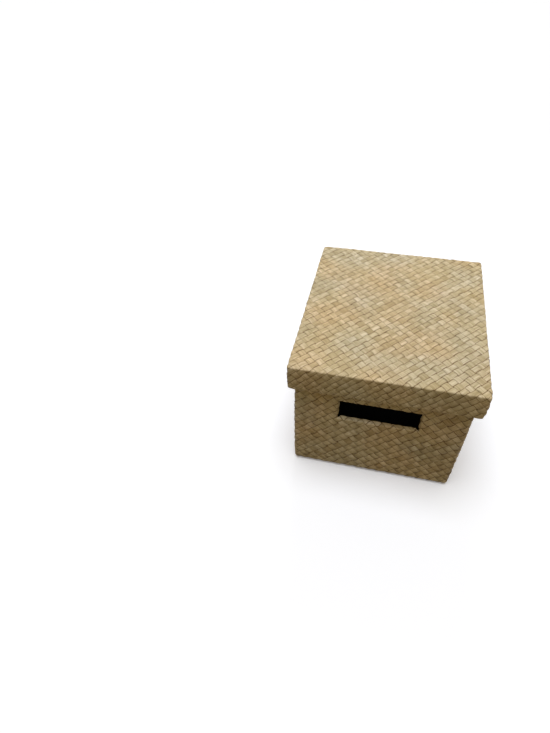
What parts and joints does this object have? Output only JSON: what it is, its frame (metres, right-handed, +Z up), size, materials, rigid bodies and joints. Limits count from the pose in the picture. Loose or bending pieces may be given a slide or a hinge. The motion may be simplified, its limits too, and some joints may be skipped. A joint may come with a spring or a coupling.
{
  "type": "woven lidded box",
  "caption": "Rectangular storage box of stiff board covered with a diagonally woven leaf mat, with a lift-off tray lid and a hand hole in each short wall.",
  "frame": {"origin": "middle of the underside, on the surface that the box stands on", "axes": "+Z up, the front short wall faces -Y, +X to the right seen from the front, +Y along the long sides"},
  "size_m": [0.26, 0.3, 0.22],
  "materials": {
    "woven_mat": "satin dried leaf strips in a plain diagonal weave, straw with olive, pink and brown strips",
    "board": "matt grey-brown board",
    "lining": "matt black woven cloth on thin card",
    "base_sheet": "matt dark paper sheet"
  },
  "bodies": {
    "box": {"base_board": "board", "front_board": "board", "rear_board": "board", "left_board": "board", "right_board": "board", "body_mat": "woven_mat", "base_sheet": "base_sheet", "base_lining": "lining", "front_lining": "lining", "rear_lining": "lining", "left_lining": "lining", "right_lining": "lining"},
    "lid": {"lid_top_board": "board", "lid_front_rim": "board", "lid_rear_rim": "board", "lid_left_rim": "board", "lid_right_rim": "board", "lid_mat": "woven_mat", "lid_top_lining": "lining", "lid_front_lining": "lining", "lid_rear_lining": "lining", "lid_left_lining": "lining", "lid_right_lining": "lining"}
  },
  "joints": [
    {"name": "lid_lift", "type": "slide", "parent": "box", "child": "lid", "axis": [0, 0, 1], "range_m": [0, 0.15]}
  ]
}
